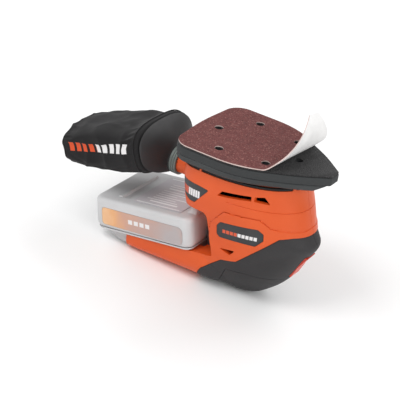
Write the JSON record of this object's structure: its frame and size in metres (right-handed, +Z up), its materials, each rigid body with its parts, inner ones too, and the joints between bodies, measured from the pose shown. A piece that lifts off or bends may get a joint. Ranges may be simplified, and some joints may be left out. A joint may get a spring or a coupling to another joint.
{
  "type": "detail mouse sander",
  "caption": "Cordless delta-pad detail sander lying on its back, with slide-on battery, rear dust bag and partly peeled sanding sheet.",
  "frame": {"origin": "middle of the bounding box on the floor that the tool lies on, sanding face up", "axes": "+X towards the pad's tip along the floor, +Y across the tool to its right side, +Z up; the sanding face is tilted 3.9 degrees about Y"},
  "size_m": [0.2456, 0.099, 0.1715],
  "materials": {
    "pad_plate": "blue-grey moulded plate",
    "bag_adapter": "dark satin",
    "collar": "grey-green satin",
    "cell_wrap": "wrapped cell",
    "inner_plastic": "black glass-filled",
    "board": "circuit board",
    "bag_fabric": "black woven",
    "orange_shell": "satin moulded ABS",
    "rubber": "black",
    "steel": "machined",
    "soft_grip": "matt overmoulded elastomer",
    "hook_face": "hook-and-loop",
    "lead_negative": "black insulated wire",
    "lead_positive": "red insulated wire",
    "badge": "dark plate",
    "pack_shell": "pale grey satin",
    "pack_label": "peach printed film",
    "switch_red": "red-orange",
    "pad_foam": "closed-cell foam",
    "rating_label": "pale printed film",
    "abrasive": "paper-backed grit, satin-free"
  },
  "bodies": {
    "housing": {"chassis_plate": "inner_plastic", "circuit_board": "board", "dust_port": "orange_shell", "dust_skirt": "rubber", "flex_post_1": "rubber", "flex_post_2": "rubber", "flex_post_3": "rubber", "flex_post_4": "rubber", "front_bearing": "steel", "grip_crown": "soft_grip", "grip_left": "soft_grip", "grip_right": "soft_grip", "housing_left": "orange_shell", "housing_right": "orange_shell", "housing_screw_1": "steel", "housing_screw_2": "steel", "housing_screw_3": "steel", "housing_screw_4": "steel", "housing_screw_5": "steel", "housing_screw_6": "steel", "lead_negative": "lead_negative", "lead_positive": "lead_positive", "motor_can": "steel", "motor_end_cap": "inner_plastic", "motor_magnet_left": "rubber", "motor_magnet_right": "rubber", "name_badge_left": "badge", "name_badge_right": "badge", "rear_bearing": "steel", "switch_body": "inner_plastic", "terminal_block": "inner_plastic", "voltage_badge_left": "badge", "voltage_badge_right": "badge"},
    "rotor": {"motor_armature": "steel", "dust_fan": "inner_plastic", "eccentric_hub": "steel", "pad_screw": "steel"},
    "pad": {"hook_layer": "hook_face", "pad_foam": "pad_foam", "backing_plate": "pad_plate", "pad_bearing": "steel", "sanding_sheet": "abrasive"},
    "sheet_tip_root": {"sheet_tip_a": "abrasive"},
    "sheet_tip_middle": {"sheet_tip_b": "abrasive"},
    "sheet_tip_end": {"sheet_tip_c": "abrasive"},
    "switch": {"switch_rocker": "switch_red"},
    "battery": {"pack_cover": "pack_shell", "pack_base": "pack_shell", "pack_label_left": "pack_label", "pack_label_right": "pack_label", "rating_label": "rating_label", "cell_1": "cell_wrap", "cell_2": "cell_wrap", "cell_3": "cell_wrap", "cell_4": "cell_wrap", "cell_5": "cell_wrap"},
    "battery_release": {"pack_release_button": "switch_red"},
    "bag": {"bag_collar": "collar", "bag_adapter": "bag_adapter", "dust_bag": "bag_fabric"}
  },
  "joints": [
    {"name": "motor_spin", "type": "hinge", "parent": "housing", "child": "rotor", "pos_m": [0.05982, 0, 0.13437], "axis": [-0.0683, 0, 0.9977], "continuous": true},
    {"name": "pad_orbit", "type": "hinge", "parent": "rotor", "child": "pad", "pos_m": [0.06081, 0, 0.13444], "axis": [-0.0683, 0, 0.9977], "continuous": true},
    {"name": "sheet_peel", "type": "hinge", "parent": "pad", "child": "sheet_tip_root", "pos_m": [0.07927, 0, 0.1357], "axis": [-0.0609, -0.9981, -0.0042], "range_deg": [-32, 8]},
    {"name": "sheet_curl_middle", "type": "hinge", "parent": "sheet_tip_root", "child": "sheet_tip_middle", "pos_m": [0.09059, -0.00072, 0.14391], "axis": [-0.0609, -0.9981, -0.0042], "range_deg": [-36.5, 9.5]},
    {"name": "sheet_curl_end", "type": "hinge", "parent": "sheet_tip_middle", "child": "sheet_tip_end", "pos_m": [0.09492, -0.00104, 0.15722], "axis": [-0.0609, -0.9981, -0.0042], "range_deg": [-32.5, 8.5]},
    {"name": "switch_rock", "type": "hinge", "parent": "housing", "child": "switch", "pos_m": [0.10995, 0, 0.04643], "axis": [0, 1, 0], "range_deg": [-5, 5]},
    {"name": "battery_slide", "type": "slide", "parent": "housing", "child": "battery", "axis": [-0.9735, 0, -0.2286], "range_m": [0, 0.075]},
    {"name": "battery_release", "type": "slide", "parent": "battery", "child": "battery_release", "axis": [0.9735, 0, 0.2286], "range_m": [0, 0.0025], "stiffness_N_per_m": 400},
    {"name": "bag_pull", "type": "slide", "parent": "housing", "child": "bag", "axis": [-0.9977, 0, -0.0683], "range_m": [0, 0.03]}
  ],
  "couplings": [
    {"joint": "pad_orbit", "follows": "motor_spin", "ratio": -1},
    {"joint": "sheet_curl_middle", "follows": "sheet_peel", "ratio": 1.125},
    {"joint": "sheet_curl_end", "follows": "sheet_peel", "ratio": 1}
  ]
}
